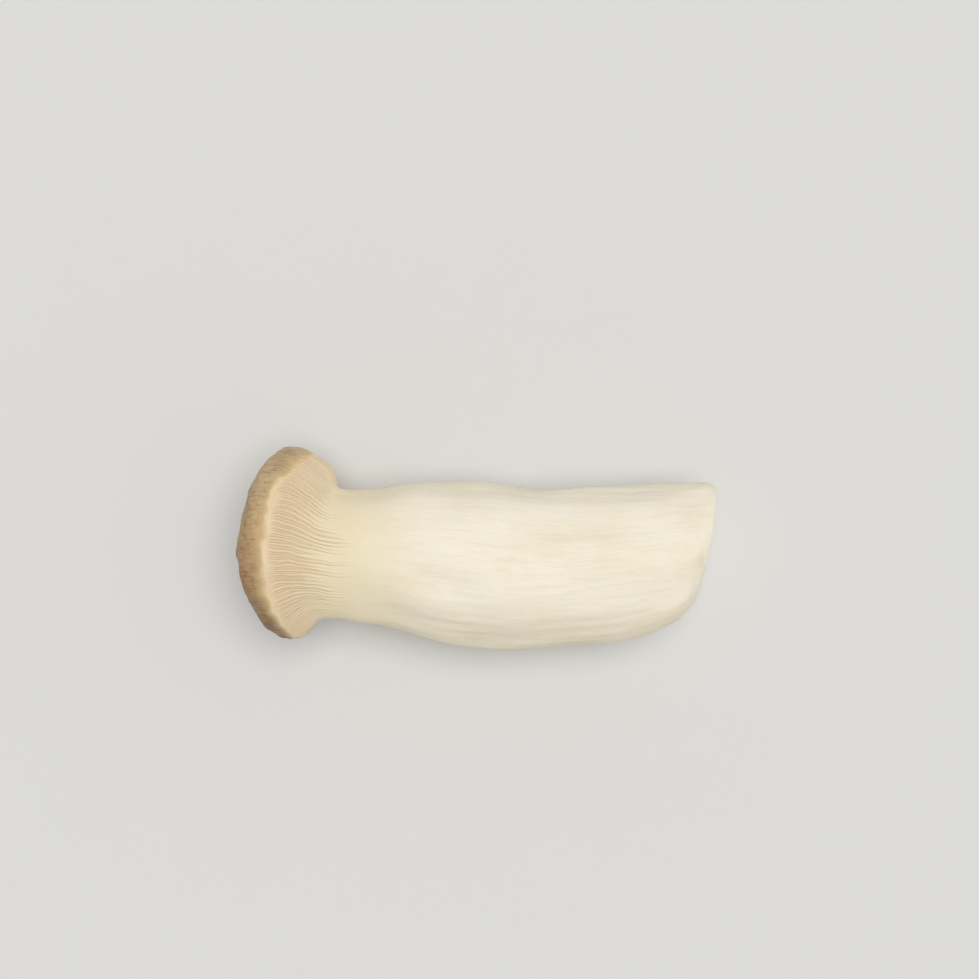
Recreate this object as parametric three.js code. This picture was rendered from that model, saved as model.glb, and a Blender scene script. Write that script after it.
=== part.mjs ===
// A king oyster mushroom, picked and lying on its side. Millimetres, +Z up.
//
// It grew as one piece, so it is one solid: a stout stem, a narrower neck that flares out under the gills,
// and a domed cap with a rounded margin, which nods towards the surface. The cut base faces +X and the crown
// of the cap faces -X. The origin is the middle of the footprint, on the surface that the mushroom lies on.

import * as THREE from "three";

// Driving dimensions
const AXIS_LENGTH = 107.2; // from the cut base to the crown of the cap, along the axis
const CUT_RADIUS = 13.9; // of the trimmed face, inside its rounded edge
const BELLY_RADIUS = 19.8; // the thickest part of the stem
const NECK_RADIUS = 15.2; // the thinnest part, where the gills end
const CAP_RADIUS = 22.8; // across the margin of the cap

// Places along the axis, from the cut base towards the crown
const BELLY_AT = 54;
const NECK_AT = 86.5;
const MARGIN_AT = 98;

// How far it departs from a turned shape
const UPRIGHT_SHARE = 0.95; // height against width of every cross-section
const CUT_SLANT = 0.2; // the knife's slope across the base
const CAP_CURL = 2.4; // the sides of the cap curl back to the stem by this much, against its top and bottom
const LOBE_CURL = 4.2; // the underside of the cap bulges back to the stem by this much on the +Y side
const CONTACT_DEPTH = 0.5; // flesh pressed flat where it lies on the surface

// Facets
const AROUND = 88;
const ALONG_STEM = 24; // from the base's edge to the neck
const ALONG_GILLS = 9; // from the neck to the margin
const ALONG_MARGIN = 4;
const ALONG_DOME = 11;

// The outline from the middle of the cut to the crown: x is the radius and y the distance along the axis.
function outline() {
  const place = (radius, along) => new THREE.Vector2(radius, along);

  const stem = new THREE.SplineCurve([
    place(CUT_RADIUS, 0),
    place(CUT_RADIUS + 2.1, 3),
    place(BELLY_RADIUS - 2.3, 9),
    place(BELLY_RADIUS - 1, 22),
    place(BELLY_RADIUS - 0.7, 38),
    place(BELLY_RADIUS, BELLY_AT),
    place(BELLY_RADIUS - 1.3, BELLY_AT + 14),
    place(NECK_RADIUS + 1.1, NECK_AT - 8),
    place(NECK_RADIUS, NECK_AT),
  ]);

  const underCap = place(CAP_RADIUS - 1.3, MARGIN_AT - 1.9);
  const gills = new THREE.CubicBezierCurve(
    place(NECK_RADIUS, NECK_AT),
    place(NECK_RADIUS - 0.2, NECK_AT + 5.6),
    place(CAP_RADIUS - 4.4, MARGIN_AT - 4),
    underCap,
  );

  const edge = place(CAP_RADIUS, MARGIN_AT + 1.4);
  const margin = new THREE.CubicBezierCurve(
    underCap,
    place(CAP_RADIUS - 0.4, MARGIN_AT - 1.2),
    place(CAP_RADIUS, MARGIN_AT),
    edge,
  );

  const crown = place(0, AXIS_LENGTH);
  const dome = new THREE.CubicBezierCurve(
    edge,
    place(CAP_RADIUS + 1, AXIS_LENGTH - 5),
    place(CAP_RADIUS * 0.3, AXIS_LENGTH),
    crown,
  );

  return [
    place(0, 0),
    place(CUT_RADIUS / 2, 0),
    ...stem.getSpacedPoints(ALONG_STEM),
    ...gills.getSpacedPoints(ALONG_GILLS).slice(1),
    ...margin.getSpacedPoints(ALONG_MARGIN).slice(1),
    ...dome.getSpacedPoints(ALONG_DOME).slice(1),
  ];
}

// The line that the mushroom grew along: x is from the base towards the cap, y sideways and z upwards.
const axis = new THREE.CatmullRomCurve3([
  new THREE.Vector3(0, 0.5, 0.4),
  new THREE.Vector3(4, -1.2, 0.2),
  new THREE.Vector3(10, -2.6, 0),
  new THREE.Vector3(22, -4.0, 0.1),
  new THREE.Vector3(40, -5.0, 0),
  new THREE.Vector3(58, -3.9, 0.4),
  new THREE.Vector3(75, -2.4, 2.2),
  new THREE.Vector3(NECK_AT, -1.6, 3.4),
  new THREE.Vector3(MARGIN_AT, 1.3, 2.6),
  new THREE.Vector3(AXIS_LENGTH - 1, -0.4, 0.2),
]);

// How far the underside of the cap bulges back to the stem, at a point of the turned shape.
function lobe(point) {
  const radius = Math.hypot(point.x, point.z);
  if (radius < NECK_RADIUS || point.y < NECK_AT) return 0;
  const overhang = Math.min(1, (radius - NECK_RADIUS) / (CAP_RADIUS - NECK_RADIUS));
  const side = Math.max(0, point.x / radius) ** 2;
  const underCap = 1 - THREE.MathUtils.smoothstep(point.y, MARGIN_AT - 2, MARGIN_AT + 2);
  return underCap * side * LOBE_CURL * Math.sin(Math.PI * overhang ** 0.8);
}

// Moves one point of the turned shape to where it grew. x is sideways, y along the axis and z upwards.
function grow(point) {
  const nearCut = 1 - THREE.MathUtils.smoothstep(point.y, 0, BELLY_AT / 2);
  const inCap = THREE.MathUtils.smoothstep(point.y, NECK_AT, MARGIN_AT);
  const bend = inCap * CAP_CURL * (point.z / CAP_RADIUS) ** 2 - nearCut * CUT_SLANT * point.x;
  const share = THREE.MathUtils.clamp(point.y / AXIS_LENGTH, 0, 1);
  const centre = axis.getPointAt(share);

  // Cross-sections tip up and down with the axis, and don't turn sideways with it.
  const tangent = axis.getTangentAt(share).setY(0).normalize();
  const upwards = point.z * UPRIGHT_SHARE;
  const fromBase = centre.x + bend - lobe(point) - upwards * tangent.z;
  return new THREE.Vector3(-fromBase, centre.y + point.x, centre.z + upwards * tangent.x);
}

// Lays the grown shape on the surface: presses the lowest flesh flat, then puts the origin under its middle.
function layDown(geometry) {
  geometry.computeBoundingBox();
  const surface = geometry.boundingBox.min.z + CONTACT_DEPTH;
  const position = geometry.getAttribute("position");
  for (let i = 0; i < position.count; i++) {
    position.setZ(i, Math.max(position.getZ(i), surface));
  }
  geometry.computeBoundingBox();
  const middle = geometry.boundingBox.getCenter(new THREE.Vector3());
  geometry.translate(-middle.x, -middle.y, -surface);
}

function mushroomGeometry() {
  const geometry = new THREE.LatheGeometry(outline(), AROUND);
  const position = geometry.getAttribute("position");
  const point = new THREE.Vector3();
  for (let i = 0; i < position.count; i++) {
    point.fromBufferAttribute(position, i);
    position.setXYZ(i, ...grow(point));
  }
  layDown(geometry);
  geometry.computeVertexNormals();
  return geometry;
}

const flesh = new THREE.MeshStandardMaterial({
  color: 0xe9dfc4,
  roughness: 0.62,
  metalness: 0,
});

const mushroom = new THREE.Mesh(mushroomGeometry(), flesh);
mushroom.name = "king_oyster_mushroom";

const part = new THREE.Group();
part.add(mushroom);

export default part;
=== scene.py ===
"""A king oyster mushroom, picked and lying on its side on a pale table.

The mushroom is one mesh, turned from an outline and then grown out of true: a bent stem with lengthwise
fibres, real gills that run down the neck, and a lopsided cap. Lengths are in metres and +Z is up. The cut
base faces +X and the crown of the cap faces -X.
"""

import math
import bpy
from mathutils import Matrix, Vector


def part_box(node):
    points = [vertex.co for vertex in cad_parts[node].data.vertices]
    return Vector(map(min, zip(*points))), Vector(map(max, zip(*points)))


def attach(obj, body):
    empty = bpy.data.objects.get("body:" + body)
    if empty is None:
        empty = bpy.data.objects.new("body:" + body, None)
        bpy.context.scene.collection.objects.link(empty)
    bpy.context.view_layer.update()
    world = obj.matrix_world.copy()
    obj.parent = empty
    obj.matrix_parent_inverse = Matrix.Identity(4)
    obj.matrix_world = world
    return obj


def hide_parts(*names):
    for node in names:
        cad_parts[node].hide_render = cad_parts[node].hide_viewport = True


bl_info = {
    "name": "King Oyster Mushroom",
    "version": (1, 0, 0),
    "blender": (4, 5, 0),
    "location": "3D View > Sidebar > Mushroom",
    "description": "Grows a king oyster mushroom that lies on its side, and lights it on a pale table",
    "category": "Add Mesh",
}

import bpy
import numpy as np
from bpy.props import FloatProperty, FloatVectorProperty, IntProperty, PointerProperty

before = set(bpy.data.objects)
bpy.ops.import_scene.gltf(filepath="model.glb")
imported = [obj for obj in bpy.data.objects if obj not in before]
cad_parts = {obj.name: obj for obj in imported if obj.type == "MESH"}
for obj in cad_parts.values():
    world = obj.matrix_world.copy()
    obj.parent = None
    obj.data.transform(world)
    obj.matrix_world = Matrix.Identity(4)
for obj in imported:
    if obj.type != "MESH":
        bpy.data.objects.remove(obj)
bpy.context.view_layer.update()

SOLID = "king_oyster_mushroom"
SOLID_LOW, SOLID_HIGH = (np.array(corner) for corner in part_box(SOLID))
MM = 0.001


# ---------------------------------------------------------------- sizes and colours


def length(name, description, default):
    return FloatProperty(name=name, description=description, default=default, unit="LENGTH", precision=5)


def share(name, description, default):
    return FloatProperty(name=name, description=description, default=default, min=0.0, max=1.0)


def colour(name, description, default):
    return FloatVectorProperty(
        name=name, description=description, default=default, subtype="COLOR", size=3, min=0.0, max=1.0
    )


class MushroomShape(bpy.types.PropertyGroup):
    """The turned outline, and how far the mushroom grew out of true."""

    axis_length: length("Axis length", "From the cut base to the crown of the cap, along the axis", 0.1072)
    cut_radius: length("Cut radius", "Radius of the trimmed face, inside its edge", 0.0139)
    belly_radius: length("Belly radius", "Radius of the thickest part of the stem", 0.0198)
    neck_radius: length("Neck radius", "Radius of the thinnest part, where the gills end", 0.0152)
    cap_radius: length("Cap radius", "Radius across the margin of the cap", 0.0228)
    belly_at: length("Belly at", "Distance of the belly from the cut base, along the axis", 0.054)
    neck_at: length("Neck at", "Distance of the neck from the cut base, along the axis", 0.0865)
    margin_at: length("Margin at", "Distance of the cap's margin from the cut base, along the axis", 0.098)
    upright_share: share("Upright share", "Height against width of every cross-section", 0.95)
    cut_slant: share("Cut slant", "Slope of the knife's cut across the base", 0.2)
    cap_curl: length("Cap curl", "How far the cap's sides curl back to the stem, against its top", 0.0024)
    lobe_curl: length("Lobe curl", "How far the cap bulges back to the stem on its +Y side", 0.0042)
    contact_depth: length("Contact depth", "How far the flesh is pressed flat where it lies", 0.0005)


class MushroomSurface(bpy.types.PropertyGroup):
    """The gills, fibres and lumps that stand on the turned shape."""

    gill_count: IntProperty(
        name="Full gills", description="Gills that run from the margin to the neck", default=108, min=24
    )
    gill_depth: length("Gill depth", "Depth of the grooves between the gills", 0.00042)
    gill_run: length("Gill run", "How far the gills run down past the neck", 0.0030)
    gill_wander: length("Gill wander", "How far a gill strays from a straight line", 0.00036)
    stem_lumps: length("Stem lumps", "Height of the stem's broad swellings", 0.00026)
    stem_fibres: length("Stem fibres", "Height of the stem's lengthwise fibre bundles", 0.000036)
    cap_lumps: length("Cap lumps", "Height of the cap's low bumps", 0.00026)
    margin_wave: length("Margin wave", "How far the margin waves in and out", 0.00035)
    margin_sway: length("Margin sway", "How far the margin waves towards the stem and the crown", 0.00045)
    cut_grain: length("Cut grain", "Roughness of the trimmed face", 0.000028)
    base_wave: share("Base wave", "How far the trimmed base is from round, as a share of its radius", 0.02)


class MushroomColours(bpy.types.PropertyGroup):
    """The flesh, gill and cap colours, as linear values."""

    stem: colour("Stem", "Clean stem flesh", (0.810, 0.762, 0.655))
    # Also painted on the stem's sides as painted shade.
    stem_warm: colour("Stem, warm", "Older streaks of the stem", (0.735, 0.662, 0.492))
    stem_tan: colour("Stem, tan", "Bruises near the base, and the cut's dried rim", (0.620, 0.450, 0.270))
    neck: colour("Neck", "Flesh where the gills begin", (0.745, 0.655, 0.462))
    gill_edge: colour("Gill edge", "The edges of the gills, near the margin", (0.700, 0.555, 0.370))
    gill_blush: colour("Gill blush", "Pinker stretches of the gills", (0.690, 0.525, 0.360))
    gill_groove: colour("Gill groove", "The shade between the gills", (0.500, 0.360, 0.210))
    margin: colour("Margin", "The thin pale line where the skin ends", (0.740, 0.610, 0.400))
    # Partly painted light: the cap's paler skin on its +Y side.
    cap_pale: colour("Cap, pale", "Skin on the side that weathered least", (0.560, 0.445, 0.275))
    cap_gold: colour("Cap, gold", "Mottled skin beside the margin", (0.520, 0.375, 0.195))
    cap_fawn: colour("Cap, fawn", "Skin on the shoulder of the cap", (0.405, 0.278, 0.145))
    cap_brown: colour("Cap, brown", "Skin on the crown of the cap", (0.250, 0.155, 0.082))
    # Partly painted shade: the cap's darker skin on its -Y side.
    cap_dark: colour("Cap, dark", "Skin on the side that weathered most", (0.150, 0.090, 0.038))
    cap_russet: colour("Cap, russet", "Reddish patches of the skin", (0.340, 0.170, 0.090))
    cap_fleck: colour("Cap fleck", "Dark fibrils and flecks in the skin", (0.100, 0.058, 0.032))
    cut: colour("Cut", "Trimmed flesh of the base", (0.850, 0.800, 0.690))


class MushroomStage(bpy.types.PropertyGroup):
    """The table, the light and the camera."""

    camera_height: length("Camera height", "Height of the camera above the table", 0.350)
    camera_x: length("Camera X", "Place of the camera along the mushroom", 0.00136)
    camera_y: length("Camera Y", "Place of the camera across the mushroom", 0.0140)
    lens: FloatProperty(name="Lens", description="Focal length in millimetres", default=50.6, min=1.0)
    table: colour("Table", "The pale table", (0.63, 0.63, 0.62))
    horizon: colour("Horizon", "The light from low down, as pale as the table's far edge", (0.69, 0.69, 0.68))
    ceiling: colour("Ceiling", "The light from higher up", (0.31, 0.31, 0.315))
    lamp: FloatProperty(name="Lamp", description="Strength of the soft overhead lamp", default=2.3, min=0.0)


# ---------------------------------------------------------------- curves


def bezier(start, pull_a, pull_b, end):
    """Points along a cubic curve."""
    t = np.linspace(0.0, 1.0, 160)[:, None]
    corners = [np.array(point, dtype=float) for point in (start, pull_a, pull_b, end)]
    weights = ((1 - t) ** 3, 3 * t * (1 - t) ** 2, 3 * t**2 * (1 - t), t**3)
    return sum(weight * corner for weight, corner in zip(weights, corners))


def smooth_through(points):
    """Points along a smooth curve that passes through the given ones, however unevenly they are spaced."""
    given = np.array(points, dtype=float)
    given = np.vstack([2 * given[0] - given[1], given, 2 * given[-1] - given[-2]])
    gaps = np.linalg.norm(np.diff(given, axis=0), axis=1) ** 0.5
    t = np.linspace(0.0, 1.0, 80)[:, None]
    pieces = []
    for i in range(1, len(given) - 2):
        before, start, end, after = given[i - 1 : i + 3]
        g0, g1, g2 = gaps[i - 1 : i + 2]
        leave = ((start - before) / g0 - (end - before) / (g0 + g1) + (end - start) / g1) * g1
        arrive = ((end - start) / g1 - (after - start) / (g1 + g2) + (after - end) / g2) * g1
        bend = 2 * start - 2 * end + leave + arrive
        swing = -3 * start + 3 * end - 2 * leave - arrive
        pieces.append(start + leave * t + swing * t**2 + bend * t**3)
    return np.vstack(pieces)


def arc_lengths(points):
    """Distance along a chain of points, from its first to each of them."""
    steps = np.linalg.norm(np.diff(points, axis=0), axis=1)
    return np.concatenate([[0.0], np.cumsum(steps)])


def along_curve(points, distances):
    """The places at the given distances along a chain of points."""
    measured = arc_lengths(points)
    columns = [np.interp(distances, measured, points[:, i]) for i in range(points.shape[1])]
    return np.stack(columns, axis=-1)


def ramp(value, low, high):
    """0 below low, 1 above high and smooth between."""
    t = np.clip((value - low) / (high - low), 0.0, 1.0)
    return t * t * (3 - 2 * t)


def ripples(points, wavelength, seed, waves=28):
    """A smooth random height of about one at each point, made of crossing waves."""
    rng = np.random.default_rng(seed)
    heading = rng.normal(size=(waves, 3))
    heading /= np.linalg.norm(heading, axis=1)[:, None]
    pace = 2 * math.pi / (wavelength * rng.uniform(0.7, 1.5, waves))
    phase = rng.uniform(0.0, 2 * math.pi, waves)
    return np.cos(points @ (heading * pace[:, None]).T + phase).sum(axis=-1) * math.sqrt(2.0 / waves)


# ---------------------------------------------------------------- the grown shape


class Growth:
    """The smooth mushroom: its outline, its axis, and where each point of the turned shape grew."""

    def __init__(self, shape):
        self.shape = shape
        cut, belly, neck, cap = shape.cut_radius, shape.belly_radius, shape.neck_radius, shape.cap_radius
        belly_at, neck_at, margin_at = shape.belly_at, shape.neck_at, shape.margin_at

        # x is the radius and y the distance from the base, along the axis.
        stem = smooth_through(
            [
                (cut, 0.0),
                (cut + 2.1 * MM, 3 * MM),
                (belly - 2.3 * MM, 9 * MM),
                (belly - 1.0 * MM, 22 * MM),
                (belly - 0.7 * MM, 38 * MM),
                (belly, belly_at),
                (belly - 1.3 * MM, belly_at + 14 * MM),
                (neck + 1.1 * MM, neck_at - 8 * MM),
                (neck, neck_at),
            ]
        )
        under_cap = (cap - 1.3 * MM, margin_at - 1.9 * MM)
        gills = bezier(
            (neck, neck_at),
            (neck - 0.2 * MM, neck_at + 5.6 * MM),
            (cap - 4.4 * MM, margin_at - 4 * MM),
            under_cap,
        )
        edge = (cap, margin_at + 1.4 * MM)
        margin = bezier(
            under_cap,
            (cap - 0.4 * MM, margin_at - 1.2 * MM),
            (cap, margin_at),
            edge,
        )
        crown_at = shape.axis_length
        dome = bezier(edge, (cap + 1 * MM, crown_at - 5 * MM), (cap * 0.3, crown_at), (0.0, crown_at))
        stretches = [np.array([(0.0, 0.0), (cut, 0.0)]), stem, gills, margin, dome]
        self.outline = np.vstack([stretch[: None if stretch is dome else -1] for stretch in stretches])

        # Distances along the outline, from the middle of the cut.
        ends = np.cumsum([arc_lengths(stretch)[-1] for stretch in stretches])
        self.rim_of_cut, self.neck, under_cap_at, self.edge, self.crown = ends
        self.lip = under_cap_at + 0.4 * (self.edge - under_cap_at)

        # The line that the mushroom grew along: from the base towards the cap, sideways and upwards.
        self.axis = smooth_through(
            [
                (0.0, 0.5 * MM, 0.4 * MM),
                (4 * MM, -1.2 * MM, 0.2 * MM),
                (10 * MM, -2.6 * MM, 0.0),
                (22 * MM, -4.0 * MM, 0.1 * MM),
                (40 * MM, -5.0 * MM, 0.0),
                (58 * MM, -3.9 * MM, 0.4 * MM),
                (75 * MM, -2.4 * MM, 2.2 * MM),
                (neck_at, -1.6 * MM, 3.4 * MM),
                (margin_at, 1.3 * MM, 2.6 * MM),
                (crown_at - 1 * MM, -0.4 * MM, 0.2 * MM),
            ]
        )
        self.lay_down()

    def turned(self, distance):
        """Radius and distance along the axis, at distances along the outline."""
        return along_curve(self.outline, distance).T

    def lobe(self, radius, along, sideways):
        """How far the underside of the cap bulges back to the stem."""
        shape = self.shape
        overhang = np.clip((radius - shape.neck_radius) / (shape.cap_radius - shape.neck_radius), 0.0, 1.0)
        side = np.clip(sideways / np.maximum(radius, MM), 0.0, 1.0) ** 2
        under = 1 - ramp(along, shape.margin_at - 2 * MM, shape.margin_at + 2 * MM)
        under = np.where(along < shape.neck_at, 0.0, under)
        return under * side * shape.lobe_curl * np.sin(math.pi * overhang**0.8)

    def grow(self, radius, along, angle):
        """Where points of the turned shape grew, before the mushroom is laid down."""
        shape = self.shape
        sideways = radius * np.sin(angle)
        upwards = radius * np.cos(angle) * shape.upright_share
        near_cut = 1 - ramp(along, 0.0, shape.belly_at / 2)
        slant = near_cut * shape.cut_slant * sideways
        in_cap = ramp(along, shape.neck_at, shape.margin_at)
        curl = in_cap * shape.cap_curl * (radius * np.cos(angle) / shape.cap_radius) ** 2

        total = arc_lengths(self.axis)[-1]
        here = along / shape.axis_length * total
        centre = along_curve(self.axis, here)
        step = 0.5 * MM
        ahead = along_curve(self.axis, here + step)
        behind = along_curve(self.axis, here - step)
        climb = np.arctan2(ahead[..., 2] - behind[..., 2], ahead[..., 0] - behind[..., 0])

        bend = curl - slant - self.lobe(radius, along, sideways)
        from_base = centre[..., 0] + bend - upwards * np.sin(climb)
        height = centre[..., 2] + upwards * np.cos(climb)
        return np.stack([-from_base, centre[..., 1] + sideways, height], axis=-1)

    def lay_down(self):
        """Finds the move that puts the smooth shape in the middle of the solid's box, pressed on the table."""
        distance = np.linspace(0.0, self.crown, 400)[:, None]
        angle = np.linspace(0.0, 2 * math.pi, 360)[None, :]
        radius, along = self.turned(distance[:, 0])[:, :, None]
        points = self.grow(radius + 0 * angle, along + 0 * angle, angle + 0 * radius).reshape(-1, 3)
        low, high = points.min(axis=0), points.max(axis=0)
        self.move = (SOLID_LOW + SOLID_HIGH - low - high) / 2
        self.move[2] = SOLID_LOW[2] - low[2] - self.shape.contact_depth


# ---------------------------------------------------------------- the rings of the mesh


GILL_COLUMNS = 10  # columns of points across one full gill
SHORT_SHARE = 0.2  # half of a short gill's width, against a full gill's
COARSE_SHARE = 4  # columns of the gills for each column of the stem and the cap
FACE_ROWS = 24  # rows of points on the trimmed face
RIM_ROWS = 9  # over its edge
STEM_ROWS = 88
GILL_ROWS = 40
MARGIN_ROWS = 10
DOME_ROWS = 44

EDGE_SOFTNESS = 0.12 * MM  # how far the knife's edge of the base has sunk
KNIFE_STEP = 0.22 * MM  # height of the low step that the knife left
KNIFE_STEP_AT = 3.5 * MM  # its distance from the middle of the trimmed face
KNIFE_STEP_TURN = math.radians(38)  # its heading, from straight up
SWELL_SPAN = 11 * MM  # from one broad swelling of the stem to the next
SWELL_STRETCH = 2.2  # swellings are this much longer than they are wide
LIP_BEAD = 0.16 * MM  # height of the bead where the gills meet the skin
CROWN_DIMPLE = 0.7 * MM

MARKS = ("groove", "cut")  # numbers from 0 to 1 that are kept at each point, for the material


class Band:
    """Rings with the same number of columns: a grid of points, and the numbers kept at each of them."""

    def __init__(self, growth, distance, angle):
        rows, columns = len(distance), angle.shape[-1]
        self.growth = growth
        self.distance = np.repeat(distance[:, None], columns, axis=1)
        self.angle = np.broadcast_to(angle, (rows, columns)).copy()
        self.radius, self.along = (
            np.repeat(part[:, None], columns, axis=1) for part in growth.turned(distance)
        )
        self.stray = np.zeros((rows, columns))
        self.height = np.zeros((rows, columns))
        self.marks = {name: np.zeros((rows, columns)) for name in MARKS}

    def places(self):
        return self.growth.grow(self.radius, self.along, self.angle + self.stray)

    def straight(self, stretch=1.0):
        """Points of the straight, turned shape, for ripples that run along it."""
        around = self.angle + self.stray
        return np.stack(
            [self.radius * np.sin(around), self.radius * np.cos(around), self.distance / stretch], axis=-1
        )

    def finished(self):
        """The places with their heights raised along the surface's own normals."""
        places = self.places()
        down = np.gradient(places, axis=0)
        wrapped = np.concatenate([places[:, -1:], places, places[:, :1]], axis=1)
        across = (wrapped[:, 2:] - wrapped[:, :-2]) / 2
        normal = np.cross(across, down)
        size = np.linalg.norm(normal, axis=-1, keepdims=True)
        normal = np.divide(normal, size, out=np.zeros_like(normal), where=size > 1e-12)
        return places + normal * self.height[..., None]


def swellings(band):
    """Broad swellings that pass from the stem into the gills."""
    return ripples(band.straight(stretch=SWELL_STRETCH), SWELL_SPAN, seed=21)


def stem_band(growth, surface, columns):
    """The trimmed face and the stem, as far as the gills."""
    rim, gills_from = growth.rim_of_cut, growth.neck - surface.gill_run
    distance = np.concatenate(
        [
            np.linspace(0.35 * MM, rim - 0.9 * MM, FACE_ROWS),
            np.linspace(rim - 0.6 * MM, rim + 1.2 * MM, RIM_ROWS),
            np.linspace(rim + 1.7 * MM, gills_from, STEM_ROWS),
        ]
    )
    angle = np.arange(columns) / columns * 2 * math.pi
    band = Band(growth, distance, angle)
    on_cut = 1 - ramp(band.distance, rim - 0.4 * MM, rim + 0.3 * MM)
    on_stem = ramp(band.distance, rim + 0.2 * MM, rim + 5 * MM)
    to_gills = 1 - ramp(band.distance, gills_from - 7 * MM, gills_from)

    # The base isn't round, and the knife leaves a soft edge and one low step across a rough face.
    ring = np.stack([np.sin(band.angle), np.cos(band.angle), 0 * band.angle], axis=-1)
    near_base = 1 - ramp(band.distance, rim, rim + 22 * MM)
    band.radius *= 1 + surface.base_wave * near_base * ripples(ring, 1.3, seed=32)
    band.height -= EDGE_SOFTNESS * np.exp(-(((band.distance - rim) / (0.5 * MM)) ** 2))
    past_step = band.radius * np.cos(band.angle - KNIFE_STEP_TURN) - KNIFE_STEP_AT
    band.height -= KNIFE_STEP * ramp(past_step, -0.5 * MM, 0.5 * MM) * on_cut
    grain = ripples(band.straight(), 2.6 * MM, seed=11) + 1.2 * ripples(band.straight(), 7 * MM, seed=12)
    band.height += surface.cut_grain * on_cut * grain

    # Broad swellings, then bundles of fibre that run the length of the stem.
    band.height += surface.stem_lumps * on_stem * swellings(band)
    for seed, wavelength, strength in ((22, 3.4 * MM, 1.0), (23, 1.7 * MM, 0.55)):
        fibres = ripples(band.straight(stretch=9.0), wavelength, seed=seed)
        band.height += surface.stem_fibres * strength * on_stem * to_gills * fibres

    band.marks["cut"] = on_cut
    return band


def gill_band(growth, surface, columns):
    """The gills, from where they fade out on the neck to the lip of the cap."""
    count = surface.gill_count
    start, end = growth.neck - surface.gill_run, growth.lip
    distance = np.linspace(start + 0.4 * MM, end, GILL_ROWS)
    column = np.arange(columns)
    number, place = column // GILL_COLUMNS, (column % GILL_COLUMNS) / GILL_COLUMNS

    rng = np.random.default_rng(5)
    groove_at = np.arange(count + 1) + np.append(rng.uniform(-0.16, 0.16, count), 0.0)
    groove_at[-1] = count + groove_at[0]
    angle = (groove_at[number] * (1 - place) + groove_at[number + 1] * place) / count * 2 * math.pi
    band = Band(growth, distance, angle)

    # Gills stray together, and come back to their places at both ends.
    inside = ramp(band.distance, start, start + 4 * MM) * (1 - ramp(band.distance, end - 1.5 * MM, end))
    stray = ripples(band.straight(), 15 * MM, seed=41)
    stray += 0.26 * ripples(band.straight(stretch=0.8), 5.5 * MM, seed=42)
    band.stray = inside * surface.gill_wander * stray / band.radius

    # A short gill rises in each groove and grows towards the margin.
    reach = end - start
    long_from = start + rng.uniform(-0.10, 0.24, count) * reach
    short_from = start + rng.uniform(0.25, 0.70, count) * reach
    long_height = rng.uniform(0.72, 1.0, count)
    short_height = rng.uniform(0.55, 0.95, count)
    nearest = np.where(place < 0.5, number, number + 1) % count
    short = ramp(band.distance, short_from[nearest], short_from[nearest] + 4 * MM)
    long = ramp(band.distance, long_from[number], long_from[number] + 8 * MM)

    from_long = np.abs(place - 0.5) / (0.5 - SHORT_SHARE * short)
    from_short = np.minimum(place, 1 - place) / np.maximum(SHORT_SHARE * short, 1e-6)
    long_ridge = long_height[number] * np.clip(1 - from_long**3, 0.0, 1.0)
    short_ridge = short_height[nearest] * np.sqrt(short) * np.clip(1 - from_short**3, 0.0, 1.0)
    ridge = np.maximum(long_ridge, short_ridge)

    fade = rng.uniform(0.9, 2.0, count)[number] * MM
    lip = ramp(band.distance, end - fade, end)
    depth = surface.gill_depth * long * (1 - lip)
    band.height = (ridge - 0.75) * depth
    band.height += surface.stem_lumps * 0.8 * swellings(band)
    band.height += LIP_BEAD * lip

    band.marks["groove"] = (1 - ridge) * long * (1 - lip)
    return band


def cap_band(growth, surface, columns):
    """The lip, the rounded margin and the dome."""
    edge, crown = growth.edge, growth.crown
    distance = np.concatenate(
        [
            np.linspace(growth.lip + 0.3 * MM, edge + 1.5 * MM, MARGIN_ROWS),
            np.linspace(edge + 2.0 * MM, crown - 0.4 * MM, DOME_ROWS),
        ]
    )
    angle = np.arange(columns) / columns * 2 * math.pi
    band = Band(growth, distance, angle)
    from_lip = band.distance - growth.lip
    on_cap = ramp(from_lip, 0.0, 4 * MM)

    band.height += LIP_BEAD * (1 - ramp(from_lip, 0.3 * MM, 1.6 * MM))
    solid = band.straight()
    solid[..., 2] = band.along
    band.height += surface.cap_lumps * on_cap * ripples(solid, 15 * MM, seed=51)
    band.height += 0.36 * surface.cap_lumps * on_cap * ripples(solid, 5.5 * MM, seed=52)

    # Low wrinkles run in from the margin, and a dimple sits in the crown.
    spokes = np.stack([np.sin(band.angle), np.cos(band.angle), band.distance / (24 * MM)], axis=-1)
    wrinkle = ripples(spokes, 0.16, seed=53)
    near_margin = ramp(from_lip, 0.5 * MM, 3 * MM) * (1 - ramp(from_lip, 6 * MM, 15 * MM))
    band.height += 0.07 * MM * near_margin * wrinkle
    band.height -= CROWN_DIMPLE * np.exp(-((band.radius / (6 * MM)) ** 2))
    return band


def wave_margin(band, growth, surface):
    """Lets the margin of the cap wave in and out, the same in every band."""
    near = np.exp(-(((band.distance - growth.edge) / (5 * MM)) ** 2))
    ring = np.stack([np.sin(band.angle), np.cos(band.angle), 0 * band.angle], axis=-1)
    band.radius += surface.margin_wave * near * ripples(ring, 1.1, seed=145)
    band.along += surface.margin_sway * near * ripples(ring, 1.6, seed=98)


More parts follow.
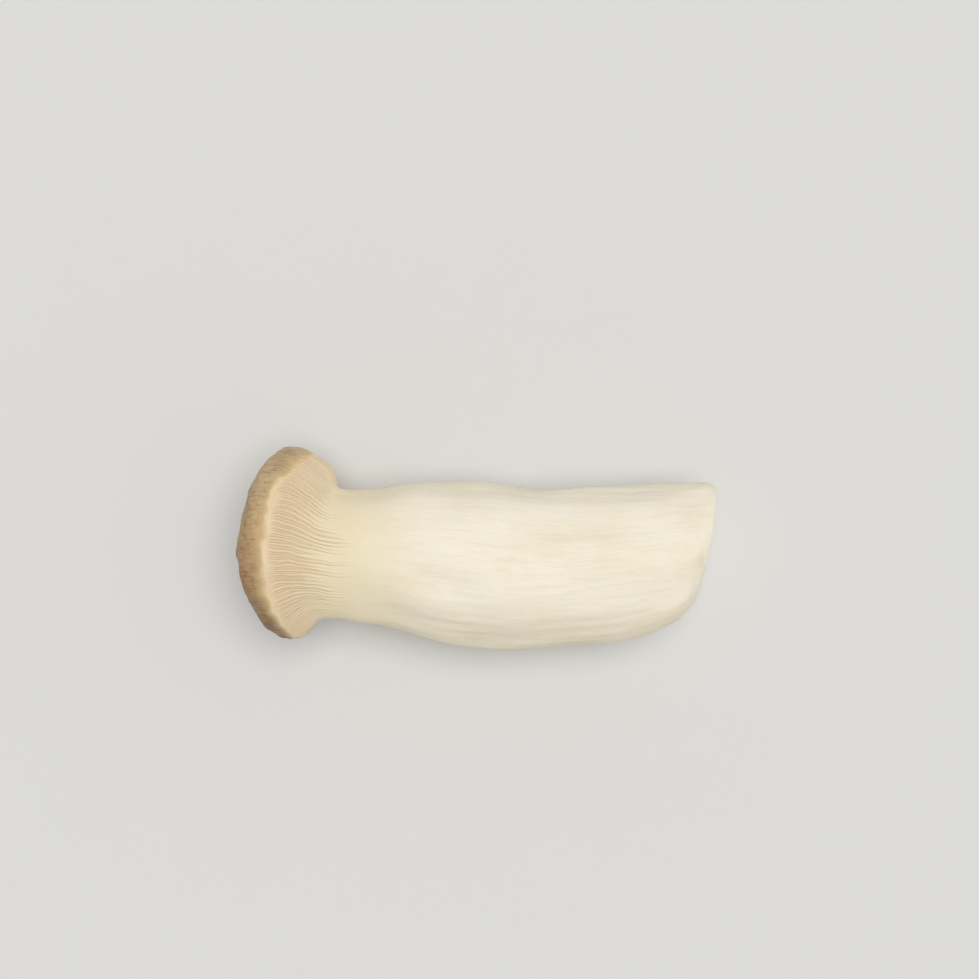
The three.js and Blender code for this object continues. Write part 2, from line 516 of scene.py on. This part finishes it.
def weave(rings):
    """Faces between rings of point numbers. Next rings have as many points, or one has a few times more."""
    faces = []
    for first, second in zip(rings, rings[1:]):
        if len(first) == len(second):
            count = len(first)
            for i in range(count):
                after = (i + 1) % count
                faces.append((first[i], second[i], second[after], first[after]))
            continue
        coarse, fine = (first, second) if len(first) < len(second) else (second, first)
        ratio = len(fine) // len(coarse)
        for i in range(len(coarse)):
            here, there = coarse[i], coarse[(i + 1) % len(coarse)]
            run = [fine[(i * ratio + step) % len(fine)] for step in range(ratio + 1)]
            half = ratio // 2
            fan = [(here, run[step], run[step + 1]) for step in range(half)]
            fan += [(here, run[half], there)]
            fan += [(there, run[step], run[step + 1]) for step in range(half, ratio)]
            faces.extend(fan if coarse is first else [corner[::-1] for corner in fan])
    return faces


def mushroom_mesh(growth, surface):
    """The whole surface as one closed mesh, with its marks and growth coordinates kept at each point."""
    columns = surface.gill_count * GILL_COLUMNS
    coarse = columns // COARSE_SHARE
    bands = [
        stem_band(growth, surface, coarse),
        gill_band(growth, surface, columns),
        cap_band(growth, surface, coarse),
    ]
    points, rings, total = [], [], 0
    for band in bands:
        wave_margin(band, growth, surface)
        places = band.finished() + growth.move
        points.append(places.reshape(-1, 3))
        rows, width = places.shape[:2]
        for _ in range(rows):
            rings.append(list(range(total, total + width)))
            total += width
    base, crown = total, total + 1
    first_ring, last_ring = points[0][: len(rings[0])], points[2][-len(rings[-1]) :]
    points.append(np.stack([first_ring.mean(axis=0), last_ring.mean(axis=0)]))
    points = np.vstack(points)
    points[:, 2] = np.maximum(points[:, 2], SOLID_LOW[2])

    faces = weave(rings)
    for i in range(coarse):
        after = (i + 1) % coarse
        faces.append((base, rings[0][i], rings[0][after]))
        faces.append((crown, rings[-1][after], rings[-1][i]))

    mesh = bpy.data.meshes.new("mushroom_flesh")
    mesh.from_pydata(points.tolist(), [], faces)
    mesh.shade_smooth()

    # The last two points are the middles of the trimmed face and of the crown.
    ends = {"cut": (1.0, 0.0)}
    for name in MARKS:
        values = [band.marks[name].ravel() for band in bands] + [np.array(ends.get(name, (0.0, 0.0)))]
        keep(mesh, name, "FLOAT", "value", np.concatenate(values))
    keep(mesh, "spokes", "FLOAT_VECTOR", "vector", growth_coordinates(bands, growth))
    return mesh


def growth_coordinates(bands, growth):
    """Direction round the axis, and centimetres along the outline, at each point."""
    around = np.concatenate([(band.angle + band.stray).ravel() for band in bands])
    distance = np.concatenate([band.distance.ravel() for band in bands])
    sides = np.stack([np.sin(around), np.cos(around), distance * 100], axis=-1)
    return np.vstack([sides, [(0, 0, 0), (0, 0, growth.crown * 100)]])


def keep(mesh, name, kind, field, values):
    """Stores one value at each point of a mesh, for the material to read."""
    store = mesh.attributes.new(name, kind, "POINT")
    store.data.foreach_set(field, np.ascontiguousarray(values, dtype=np.float32).ravel())


# ---------------------------------------------------------------- the material


class Shader:
    """Adds nodes to one material and joins them up."""

    def __init__(self, name):
        self.material = bpy.data.materials.new(name)
        self.material.use_nodes = True
        self.nodes = self.material.node_tree.nodes
        self.links = self.material.node_tree.links
        self.skin = self.nodes["Principled BSDF"]

    def feed(self, socket, value):
        if isinstance(value, bpy.types.NodeSocket):
            self.links.new(value, socket)
        elif isinstance(value, (int, float)):
            socket.default_value = value
        else:
            wanted = tuple(value)
            socket.default_value = wanted + (1.0,) if socket.type == "RGBA" and len(wanted) == 3 else wanted

    def mark(self, name):
        node = self.nodes.new("ShaderNodeAttribute")
        node.attribute_name = name
        return node

    def noise(self, coordinates, scale, detail=3.0, roughness=0.55, distortion=0.0):
        """Noise between 0 and 1. scale is one number, or three that stretch it."""
        if isinstance(scale, tuple):
            coordinates = self.stretched(coordinates, scale)
            scale = 1.0
        node = self.nodes.new("ShaderNodeTexNoise")
        self.feed(node.inputs["Vector"], coordinates)
        self.feed(node.inputs["Scale"], scale)
        self.feed(node.inputs["Detail"], detail)
        self.feed(node.inputs["Roughness"], roughness)
        self.feed(node.inputs["Distortion"], distortion)
        return node.outputs["Fac"]

    def nearest(self, coordinates, scale):
        """Distance to the nearest of many scattered points, as a share of the gap between them."""
        node = self.nodes.new("ShaderNodeTexVoronoi")
        self.feed(node.inputs["Vector"], coordinates)
        self.feed(node.inputs["Scale"], scale)
        return node.outputs["Distance"]

    def split(self, vector):
        node = self.nodes.new("ShaderNodeSeparateXYZ")
        self.feed(node.inputs["Vector"], vector)
        return node.outputs

    def stretched(self, vector, scale):
        node = self.nodes.new("ShaderNodeVectorMath")
        node.operation = "MULTIPLY"
        self.feed(node.inputs[0], vector)
        self.feed(node.inputs[1], scale)
        return node.outputs["Vector"]

    def math(self, operation, first, second=0.0):
        node = self.nodes.new("ShaderNodeMath")
        node.operation = operation
        self.feed(node.inputs[0], first)
        self.feed(node.inputs[1], second)
        return node.outputs["Value"]

    def add(self, first, second):
        return self.math("ADD", first, second)

    def times(self, first, second):
        return self.math("MULTIPLY", first, second)

    def ramp(self, value, low, high, out_low=0.0, out_high=1.0):
        """A smooth step from out_low to out_high as the value passes from low to high."""
        node = self.nodes.new("ShaderNodeMapRange")
        node.interpolation_type = "SMOOTHSTEP"
        self.feed(node.inputs["Value"], value)
        self.feed(node.inputs["From Min"], low)
        self.feed(node.inputs["From Max"], high)
        self.feed(node.inputs["To Min"], out_low)
        self.feed(node.inputs["To Max"], out_high)
        return node.outputs["Result"]

    def mix(self, factor, first, second):
        """Blends two colours: the first where the factor is 0, and the second where it is 1."""
        node = self.nodes.new("ShaderNodeMix")
        node.data_type = "RGBA"
        self.feed(node.inputs["Factor"], factor)
        self.feed(node.inputs[6], first)
        self.feed(node.inputs[7], second)
        return node.outputs[2]

    def bump(self, height, depth, strength, over=None):
        """A normal that follows a height of 0 to 1, scaled to the depth, over an earlier one where given."""
        node = self.nodes.new("ShaderNodeBump")
        self.feed(node.inputs["Height"], height)
        self.feed(node.inputs["Distance"], depth)
        self.feed(node.inputs["Strength"], strength)
        if over is not None:
            self.feed(node.inputs["Normal"], over)
        return node.outputs["Normal"]


class Places:
    """Where a point lies on the mushroom, as sockets that the finishes share. Lengths are in millimetres."""

    def __init__(self, shader, growth):
        self.spokes = shader.mark("spokes").outputs["Vector"]
        self.groove = shader.mark("groove").outputs["Fac"]
        self.cut = shader.mark("cut").outputs["Fac"]
        self.solid = shader.nodes.new("ShaderNodeTexCoord").outputs["Object"]

        east, _, centimetres = shader.split(self.spokes)
        along = shader.times(centimetres, 10.0)
        self.from_rim = shader.add(along, -growth.rim_of_cut / MM)
        self.from_neck = shader.add(along, -growth.neck / MM)
        self.to_crown = shader.add(shader.times(along, -1.0), growth.crown / MM)
        self.sideways = shader.times(shader.split(self.solid)[1], 1 / MM)

        # The skin ends in a wavering line, and wraps a little way under the cap on the +Y side.
        waver = shader.ramp(shader.noise(self.solid, 240.0, detail=1.5), 0.25, 0.75, -0.3, 0.3)
        wrap = shader.ramp(east, 0.5, 0.95, 0.0, 2.0)
        self.inland = shader.add(shader.add(along, -growth.lip / MM), shader.add(waver, wrap))
        self.skin = shader.ramp(self.inland, -0.2, 0.2)


def stem_colour(shader, place, colours):
    """Pale flesh with fine lengthwise fibres, warmer up the neck, bruised and specked here and there, with
    painted shade warming its sides.
    """
    fibre = shader.noise(place.spokes, (32.0, 32.0, 1.1), detail=4.0, distortion=0.5)
    hair = shader.noise(place.spokes, (85.0, 85.0, 3.0), detail=3.0, distortion=0.6)
    cloud = shader.noise(place.solid, 75.0, detail=2.0)
    warm = shader.add(shader.ramp(fibre, 0.4, 0.75, 0.0, 0.4), shader.ramp(cloud, 0.4, 0.75, 0.0, 0.35))
    warm = shader.add(warm, shader.ramp(hair, 0.42, 0.72, 0.0, 0.3))
    # Painted shade: the stem's sides, where they turn away from the light above, are tinted warmer and duller.
    painted_side_shade = shader.ramp(shader.math("ABSOLUTE", place.sideways), 10.0, 20.0, 0.0, 0.45)
    warm = shader.math("MINIMUM", shader.add(warm, painted_side_shade), 1.0)
    tint = shader.mix(warm, colours.stem, colours.stem_warm)
    tint = shader.mix(shader.ramp(place.from_neck, -22.0, 0.0, 0.0, 0.85), tint, colours.neck)

    bruise = shader.ramp(shader.noise(place.solid, 115.0, detail=4.0, distortion=1.0), 0.50, 0.80, 0.0, 0.42)
    near_base = shader.ramp(place.from_rim, 1.0, 24.0, 1.0, 0.0)
    speck = shader.ramp(shader.nearest(place.solid, 90.0), 0.018, 0.032, 0.7, 0.0)
    marked = shader.math("MAXIMUM", shader.times(bruise, near_base), speck)
    return shader.mix(marked, tint, colours.stem_tan)


def gill_colour(shader, place, colours):
    """Buff gills that deepen towards the margin, with shaded grooves."""
    streak = shader.noise(place.spokes, (10.0, 10.0, 0.5), detail=3.0)
    edge = shader.mix(shader.ramp(streak, 0.3, 0.7), colours.gill_edge, colours.gill_blush)
    tint = shader.mix(shader.ramp(place.from_neck, 0.0, 14.0), colours.neck, edge)
    return shader.mix(shader.ramp(place.groove, 0.0, 0.9, 0.0, 0.5), tint, colours.gill_groove)


def cap_colour(shader, place, colours, fibril, mottle):
    """A pale line, a band of gold, then fawn to brown skin with patches, radial fibrils and flecks, darker on
    the -Y side and paler on the +Y side, partly as painted shade and painted light.
    """
    tint = shader.mix(shader.ramp(place.inland, 0.0, 1.0), colours.margin, colours.cap_gold)
    tint = shader.mix(shader.ramp(place.inland, 1.0, 3.6), tint, colours.cap_fawn)
    tint = shader.mix(shader.ramp(place.inland, 4.0, 17.0), tint, colours.cap_brown)
    inside = shader.ramp(place.inland, 0.6, 2.2)

    # Partly painted shade: the skin darkens towards the -Y side, away from the light that falls from +Y; the
    # rest is the skin's own uneven colour.
    shaded = shader.ramp(place.sideways, -19.0, 3.0, 0.75, 0.0)
    tint = shader.mix(shader.times(shaded, inside), tint, colours.cap_dark)
    patch = shader.noise(place.solid, 130.0, detail=4.0, roughness=0.6, distortion=0.4)
    tint = shader.mix(shader.ramp(patch, 0.45, 0.68, 0.0, 0.5), tint, colours.cap_gold)
    # Partly painted light: the skin pales towards the +Y side, where the light falls; the rest is the skin's
    # own uneven colour.
    lit_side = shader.ramp(place.sideways, 8.0, 21.0, 0.0, 0.6)
    tint = shader.mix(shader.times(lit_side, inside), tint, colours.cap_pale)
    russet = shader.ramp(shader.noise(place.solid, 62.0, detail=3.0), 0.52, 0.66, 0.0, 0.42)
    tint = shader.mix(shader.times(russet, inside), tint, colours.cap_russet)

    lines = shader.times(shader.ramp(fibril, 0.44, 0.74, 0.0, 0.5), shader.ramp(place.to_crown, 1.0, 12.0))
    flecks = shader.add(lines, shader.ramp(mottle, 0.46, 0.74, 0.0, 0.45))
    return shader.mix(shader.times(flecks, inside), tint, colours.cap_fleck)


def cut_colour(shader, place, colours, pulp):
    """Pale pulp with a dried rim and a few stains."""
    stain = shader.noise(place.solid, 170.0, detail=4.0, distortion=0.8)
    dried = shader.ramp(place.from_rim, -1.6, 0.1, 0.0, 0.45)
    tint = shader.mix(shader.ramp(pulp, 0.4, 0.75, 0.0, 0.4), colours.cut, colours.stem_warm)
    return shader.mix(shader.add(shader.ramp(stain, 0.55, 0.78, 0.0, 0.3), dried), tint, colours.stem_tan)


def mushroom_material(growth, colours):
    """One finish for the whole mushroom: stem, gills, cap and trimmed face, each where it belongs."""
    shader = Shader("mushroom_flesh")
    place = Places(shader, growth)
    fibril = shader.noise(place.spokes, (48.0, 48.0, 3.4), detail=5.0, roughness=0.65, distortion=0.5)
    mottle = shader.noise(place.solid, 620.0, detail=5.0, roughness=0.65, distortion=0.8)
    pulp = shader.noise(place.solid, (800.0, 420.0, 1500.0), detail=5.0, roughness=0.7)

    stem = stem_colour(shader, place, colours)
    gills = gill_colour(shader, place, colours)
    tint = shader.mix(shader.ramp(place.from_neck, -4.0, 1.0), stem, gills)
    tint = shader.mix(place.skin, tint, cap_colour(shader, place, colours, fibril, mottle))
    tint = shader.mix(place.cut, tint, cut_colour(shader, place, colours, pulp))
    shader.feed(shader.skin.inputs["Base Color"], tint)

    rough = shader.ramp(place.skin, 0.0, 1.0, 0.58, 0.50)
    rough = shader.add(rough, shader.ramp(mottle, 0.3, 0.7, -0.06, 0.08))
    rough = shader.add(rough, shader.times(place.cut, 0.12))
    shader.feed(shader.skin.inputs["Roughness"], rough)

    fine_fibre = shader.noise(place.spokes, (75.0, 75.0, 2.2), detail=4.0, roughness=0.6, distortion=0.4)
    on_stem = shader.math("SUBTRACT", 1.0, shader.math("MAXIMUM", place.skin, place.cut))
    normal = shader.bump(shader.times(fine_fibre, on_stem), 0.14 * MM, 0.5)
    suede = shader.add(shader.times(fibril, 0.7), shader.times(mottle, 0.5))
    normal = shader.bump(shader.times(suede, place.skin), 0.20 * MM, 0.6, over=normal)
    normal = shader.bump(shader.times(pulp, place.cut), 0.07 * MM, 0.5, over=normal)
    shader.feed(shader.skin.inputs["Normal"], normal)

    shader.skin.inputs["Subsurface Weight"].default_value = 0.22
    shader.skin.inputs["Subsurface Radius"].default_value = (1.0, 0.72, 0.42)
    shader.skin.inputs["Subsurface Scale"].default_value = 2.4 * MM
    shader.skin.inputs["IOR"].default_value = 1.38
    return shader.material


# ---------------------------------------------------------------- operators


class MUSHROOM_OT_grow_flesh(bpy.types.Operator):
    """Grow the mushroom: stem, gills and cap in one piece"""

    bl_idname = "mushroom.grow_flesh"
    bl_label = "Grow Mushroom"

    def execute(self, context):
        scene = context.scene
        growth = Growth(scene.mushroom_shape)
        mesh = mushroom_mesh(growth, scene.mushroom_surface)
        mesh.materials.append(mushroom_material(growth, scene.mushroom_colours))
        mushroom = bpy.data.objects.new("mushroom_flesh", mesh)
        scene.collection.objects.link(mushroom)
        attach(mushroom, "root")
        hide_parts(SOLID)
        return {"FINISHED"}


class MUSHROOM_OT_set_stage(bpy.types.Operator):
    """Set the pale table, the soft light and the camera that looks straight down"""

    bl_idname = "mushroom.set_stage"
    bl_label = "Set Stage"

    def execute(self, context):
        stage = context.scene.mushroom_stage
        set_table(context.scene, stage)
        set_light(context.scene, stage)
        set_camera(context.scene, stage)
        return {"FINISHED"}


def set_table(scene, stage):
    """A wide round table, so that its far edge lies on the horizon."""
    reach, corners, gap = 12.0, 96, 0.05 * MM
    turns = [math.tau * i / corners for i in range(corners)]
    ring = [(reach * math.cos(turn), reach * math.sin(turn), 0.0) for turn in turns]
    mesh = bpy.data.meshes.new("table")
    mesh.from_pydata(ring, [], [tuple(range(corners))])
    shader = Shader("table")
    cloud = shader.noise(shader.nodes.new("ShaderNodeTexCoord").outputs["Object"], 40.0, detail=2.0)
    shader.feed(shader.skin.inputs["Roughness"], shader.ramp(cloud, 0.3, 0.7, 0.72, 0.8))
    shader.feed(shader.skin.inputs["Base Color"], stage.table)
    shader.skin.inputs["Specular IOR Level"].default_value = 0.2
    mesh.materials.append(shader.material)
    table = bpy.data.objects.new("table", mesh)
    table.location.z = SOLID_LOW[2] - gap
    scene.collection.objects.link(table)


def set_light(scene, stage):
    """Light from all round that pales towards the horizon, and a broad soft lamp overhead."""
    # The horizon's colour reaches some way up, so that level views see no edge behind the table.
    world = bpy.data.worlds.new("soft_room")
    world.use_nodes = True
    background = world.node_tree.nodes["Background"]
    nodes, links = world.node_tree.nodes, world.node_tree.links
    split = nodes.new("ShaderNodeSeparateXYZ")
    links.new(nodes.new("ShaderNodeTexCoord").outputs["Generated"], split.inputs["Vector"])
    blend = nodes.new("ShaderNodeMapRange")
    blend.interpolation_type = "SMOOTHSTEP"
    links.new(split.outputs["Z"], blend.inputs["Value"])
    blend.inputs["From Min"].default_value = 0.32
    blend.inputs["From Max"].default_value = 0.70
    mix = nodes.new("ShaderNodeMix")
    mix.data_type = "RGBA"
    links.new(blend.outputs["Result"], mix.inputs["Factor"])
    mix.inputs[6].default_value = (*stage.horizon, 1.0)
    mix.inputs[7].default_value = (*stage.ceiling, 1.0)
    links.new(mix.outputs[2], background.inputs["Color"])
    scene.world = world

    lamp = bpy.data.lights.new("overhead_lamp", "SUN")
    lamp.energy = stage.lamp
    lamp.angle = math.radians(40)
    lamp.color = (1.0, 0.985, 0.955)
    holder = bpy.data.objects.new("overhead_lamp", lamp)
    holder.rotation_euler = (math.radians(-6), math.radians(8), 0.0)
    scene.collection.objects.link(holder)


def set_camera(scene, stage):
    """A camera that looks straight down."""
    camera = bpy.data.cameras.new("camera")
    camera.lens = stage.lens
    camera.sensor_width = 36.0
    camera.clip_start = 0.01
    holder = bpy.data.objects.new("camera", camera)
    holder.location = (stage.camera_x, stage.camera_y, stage.camera_height)
    scene.collection.objects.link(holder)
    scene.camera = holder
    scene.view_settings.view_transform = "Standard"
    scene.view_settings.look = "None"


class MUSHROOM_PT_panel(bpy.types.Panel):
    """The mushroom's sizes, colours and stage"""

    bl_idname = "MUSHROOM_PT_panel"
    bl_label = "King Oyster Mushroom"
    bl_space_type = "VIEW_3D"
    bl_region_type = "UI"
    bl_category = "Mushroom"

    def draw(self, context):
        layout = self.layout
        for name, heading, _ in GROUPS:
            box = layout.box()
            box.label(text=heading)
            group = getattr(context.scene, name)
            for field in group.__annotations__:
                box.prop(group, field)
        for operator in (MUSHROOM_OT_grow_flesh, MUSHROOM_OT_set_stage):
            layout.operator(operator.bl_idname)


GROUPS = (
    ("mushroom_shape", "Shape", MushroomShape),
    ("mushroom_surface", "Surface", MushroomSurface),
    ("mushroom_colours", "Colours", MushroomColours),
    ("mushroom_stage", "Stage", MushroomStage),
)
CLASSES = tuple(group for _, _, group in GROUPS) + (
    MUSHROOM_OT_grow_flesh,
    MUSHROOM_OT_set_stage,
    MUSHROOM_PT_panel,
)


def register():
    for cls in CLASSES:
        bpy.utils.register_class(cls)
    for name, _, group in GROUPS:
        setattr(bpy.types.Scene, name, PointerProperty(type=group))


def unregister():
    for name, _, _ in GROUPS:
        delattr(bpy.types.Scene, name)
    for cls in reversed(CLASSES):
        bpy.utils.unregister_class(cls)


def main():
    register()
    bpy.ops.mushroom.grow_flesh()
    bpy.ops.mushroom.set_stage()


if __name__ == "__main__":
    main()
